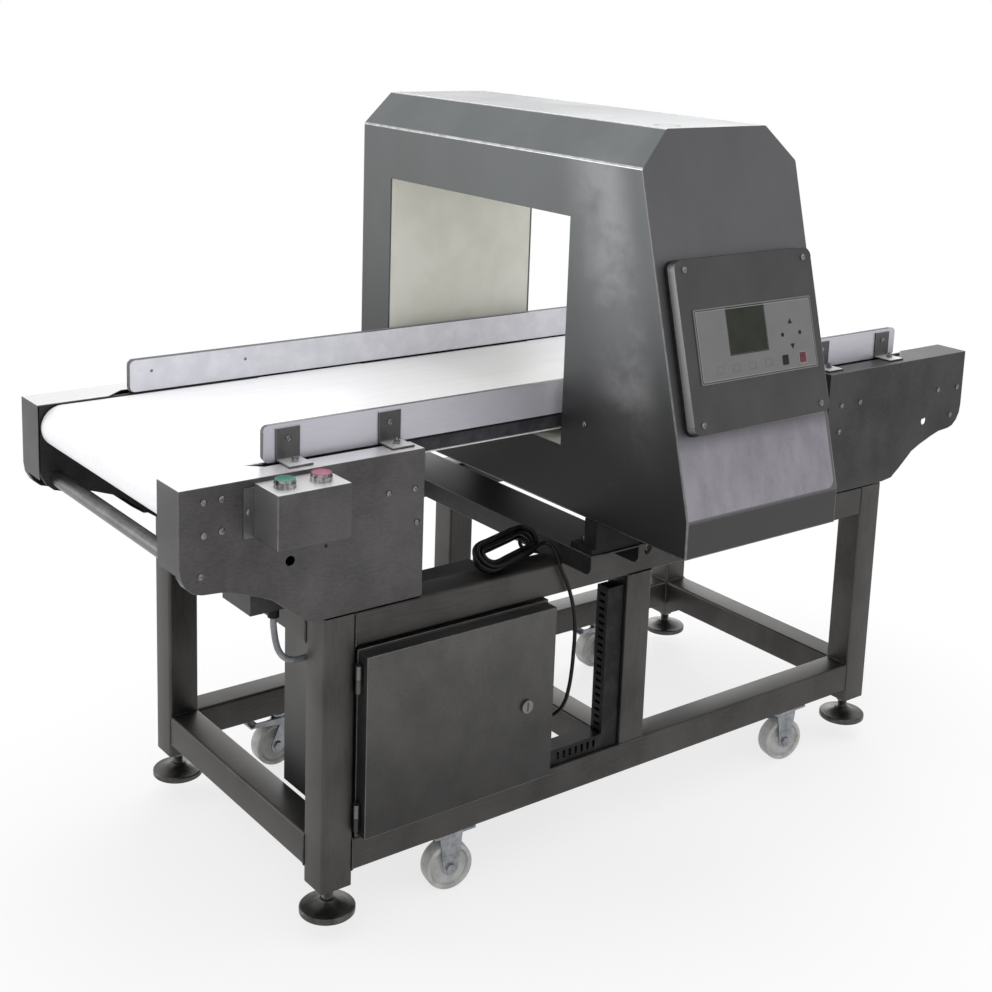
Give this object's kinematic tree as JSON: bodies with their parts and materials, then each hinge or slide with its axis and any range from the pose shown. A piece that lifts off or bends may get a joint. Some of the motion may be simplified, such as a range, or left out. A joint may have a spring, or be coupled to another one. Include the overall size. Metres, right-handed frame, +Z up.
{
  "type": "food metal detector",
  "caption": "Conveyor metal detector for food: belt on a tube stand with casters and levelling feet, sloped detector head over the belt, control cabinet and switch box.",
  "frame": {"origin": "on the floor under the casters, at the middle of the machine's bounding box", "axes": "+X along the belt from the infeed to the outfeed, -Y to the operator, +Z up"},
  "size_m": [1.56, 0.832, 1.135],
  "materials": {
    "frame_steel": "brushed square tube, satin",
    "channel_steel": "folded stainless sheet, satin",
    "housing_steel": "brushed sheet, satin",
    "head_steel": "brushed sheet, satin",
    "cover_steel": "brushed sheet, satin",
    "door_steel": "brushed sheet, satin",
    "guide_steel": "brushed sheet, satin",
    "plain_steel": "turned and plain steel",
    "zinc_plate": "zinc plated",
    "white_nylon": "moulded, satin",
    "white_belt": "coated fabric belt, matt",
    "white_strip": "machined plastic, satin",
    "grey_bed": "machined plastic, matt",
    "cream_liner": "smooth plastic sheet",
    "black_rubber": "moulded, matt",
    "keypad_film": "printed film, satin",
    "display_window": "clear window over a liquid crystal panel",
    "green_cap": "moulded, glossy",
    "red_cap": "moulded, glossy",
    "bezel_chrome": "plated rings, plastic bodies",
    "motor_paint": "painted cast housing, satin",
    "bearing_iron": "cast flange bearings",
    "black_belt": "toothed belt, matt",
    "green_board": "circuit board with lacquer",
    "coil_copper": "lacquered copper winding",
    "dark_duct": "extruded, matt",
    "black_cable": "sheath, satin",
    "grey_conduit": "plastic hose, satin",
    "unit_case": "moulded cases on a plain plate"
  },
  "bodies": {
    "stand": {"legs": "frame_steel", "rails": "frame_steel", "middle_posts": "frame_steel", "cross_channels": "channel_steel", "fixed_forks": "zinc_plate", "swivel_plates": "zinc_plate", "side_plates": "housing_steel", "infeed_housings": "housing_steel", "outfeed_housings": "housing_steel", "slider_bed": "grey_bed", "belt": "white_belt", "roller_bearings": "bearing_iron", "tie_bars": "plain_steel", "gear_motor": "motor_paint", "drive_belt": "black_belt", "guide_rails": "guide_steel", "guide_strips": "white_strip", "guide_brackets": "guide_steel", "fasteners": "plain_steel", "switch_box": "housing_steel", "switch_bodies": "bezel_chrome", "head_shell": "head_steel", "tunnel_liner": "cream_liner", "search_coils": "coil_copper", "control_board": "green_board", "head_mounts": "black_rubber", "operator_cover": "cover_steel", "cover_gasket": "black_rubber", "keypad_plate": "keypad_film", "display": "display_window", "cabinet_box": "door_steel", "door_hinges": "plain_steel", "power_unit": "unit_case", "wire_duct": "dark_duct", "cable_glands": "black_cable", "head_cable": "black_cable", "cable_hank": "black_cable", "motor_conduit": "grey_conduit"},
    "foot_front_left": {"foot_front_left": "plain_steel"},
    "foot_front_right": {"foot_front_right": "plain_steel"},
    "foot_rear_left": {"foot_rear_left": "plain_steel"},
    "foot_rear_right": {"foot_rear_right": "plain_steel"},
    "wheel_front_left": {"wheel_front_left": "white_nylon"},
    "wheel_front_right": {"wheel_front_right": "white_nylon"},
    "wheel_rear_left": {"wheel_rear_left": "white_nylon"},
    "wheel_rear_right": {"wheel_rear_right": "white_nylon"},
    "brake_pedal_left": {"brake_pedal_left": "zinc_plate"},
    "brake_pedal_right": {"brake_pedal_right": "zinc_plate"},
    "tail_roller": {"tail_roller": "plain_steel"},
    "return_roller_infeed": {"return_roller_infeed": "plain_steel"},
    "return_roller_outfeed": {"return_roller_outfeed": "plain_steel"},
    "motor_pulley": {"motor_pulley": "plain_steel"},
    "start_button": {"start_button": "green_cap"},
    "stop_button": {"stop_button": "red_cap"},
    "caster_rear_left": {"fork_rear_left": "zinc_plate"},
    "caster_rear_right": {"fork_rear_right": "zinc_plate"},
    "drive_roller": {"drive_roller": "plain_steel", "roller_pulley": "plain_steel"},
    "cabinet_door": {"cabinet_door": "door_steel"},
    "door_lock": {"door_lock": "zinc_plate"}
  },
  "joints": [
    {"name": "foot_front_left_height", "type": "slide", "parent": "stand", "child": "foot_front_left", "axis": [0, 0, -1], "range_m": [-0.012, 0.045]},
    {"name": "foot_front_right_height", "type": "slide", "parent": "stand", "child": "foot_front_right", "axis": [0, 0, -1], "range_m": [-0.012, 0.045]},
    {"name": "foot_rear_left_height", "type": "slide", "parent": "stand", "child": "foot_rear_left", "axis": [0, 0, -1], "range_m": [-0.012, 0.045]},
    {"name": "foot_rear_right_height", "type": "slide", "parent": "stand", "child": "foot_rear_right", "axis": [0, 0, -1], "range_m": [-0.012, 0.045]},
    {"name": "wheel_front_left_spin", "type": "hinge", "parent": "stand", "child": "wheel_front_left", "pos_m": [-0.34, -0.1425, 0.0375], "axis": [0.1908, 0.9816, 0], "continuous": true},
    {"name": "wheel_front_right_spin", "type": "hinge", "parent": "stand", "child": "wheel_front_right", "pos_m": [0.38, -0.1425, 0.0375], "axis": [0.1908, 0.9816, 0], "continuous": true},
    {"name": "caster_rear_left_swivel", "type": "hinge", "parent": "stand", "child": "caster_rear_left", "pos_m": [-0.34, 0.3325, 0.0895], "axis": [0, 0, 1], "continuous": true},
    {"name": "wheel_rear_left_spin", "type": "hinge", "parent": "caster_rear_left", "child": "wheel_rear_left", "pos_m": [-0.368, 0.3325, 0.0375], "axis": [0, 1, 0], "continuous": true},
    {"name": "brake_pedal_left_press", "type": "hinge", "parent": "caster_rear_left", "child": "brake_pedal_left", "pos_m": [-0.3344, 0.3325, 0.081], "axis": [0, -1, 0], "range_deg": [0, 8]},
    {"name": "caster_rear_right_swivel", "type": "hinge", "parent": "stand", "child": "caster_rear_right", "pos_m": [0.38, 0.3325, 0.0895], "axis": [0, 0, 1], "continuous": true},
    {"name": "wheel_rear_right_spin", "type": "hinge", "parent": "caster_rear_right", "child": "wheel_rear_right", "pos_m": [0.352, 0.3325, 0.0375], "axis": [0, 1, 0], "continuous": true},
    {"name": "brake_pedal_right_press", "type": "hinge", "parent": "caster_rear_right", "child": "brake_pedal_right", "pos_m": [0.3856, 0.3325, 0.081], "axis": [0, -1, 0], "range_deg": [0, 8]},
    {"name": "drive_roller_spin", "type": "hinge", "parent": "stand", "child": "drive_roller", "pos_m": [-0.743, 0.095, 0.663], "axis": [0, 1, 0], "continuous": true},
    {"name": "tail_roller_spin", "type": "hinge", "parent": "stand", "child": "tail_roller", "pos_m": [0.743, 0.095, 0.663], "axis": [0, 1, 0], "continuous": true},
    {"name": "return_roller_infeed_spin", "type": "hinge", "parent": "stand", "child": "return_roller_infeed", "pos_m": [-0.441, 0.095, 0.653], "axis": [0, 1, 0], "continuous": true},
    {"name": "return_roller_outfeed_spin", "type": "hinge", "parent": "stand", "child": "return_roller_outfeed", "pos_m": [0.441, 0.095, 0.653], "axis": [0, 1, 0], "continuous": true},
    {"name": "motor_pulley_spin", "type": "hinge", "parent": "stand", "child": "motor_pulley", "pos_m": [-0.605, 0.095, 0.529], "axis": [0, 1, 0], "continuous": true},
    {"name": "cabinet_door_swing", "type": "hinge", "parent": "stand", "child": "cabinet_door", "pos_m": [-0.519, -0.1735, 0.288], "axis": [0, 0, -1], "range_deg": [0, 110]},
    {"name": "door_lock_turn", "type": "hinge", "parent": "cabinet_door", "child": "door_lock", "pos_m": [-0.235, -0.1675, 0.279], "axis": [0, -1, 0], "range_deg": [0, 90]},
    {"name": "start_button_press", "type": "slide", "parent": "stand", "child": "start_button", "axis": [0, 0, -1], "range_m": [0, 0.004], "stiffness_N_per_m": 600, "springref_m": -0.002},
    {"name": "stop_button_press", "type": "slide", "parent": "stand", "child": "stop_button", "axis": [0, 0, -1], "range_m": [0, 0.004], "stiffness_N_per_m": 600, "springref_m": -0.002}
  ],
  "couplings": [
    {"joint": "tail_roller_spin", "follows": "drive_roller_spin", "ratio": 1},
    {"joint": "return_roller_infeed_spin", "follows": "drive_roller_spin", "ratio": -2},
    {"joint": "return_roller_outfeed_spin", "follows": "drive_roller_spin", "ratio": -2},
    {"joint": "motor_pulley_spin", "follows": "drive_roller_spin", "ratio": 1}
  ]
}
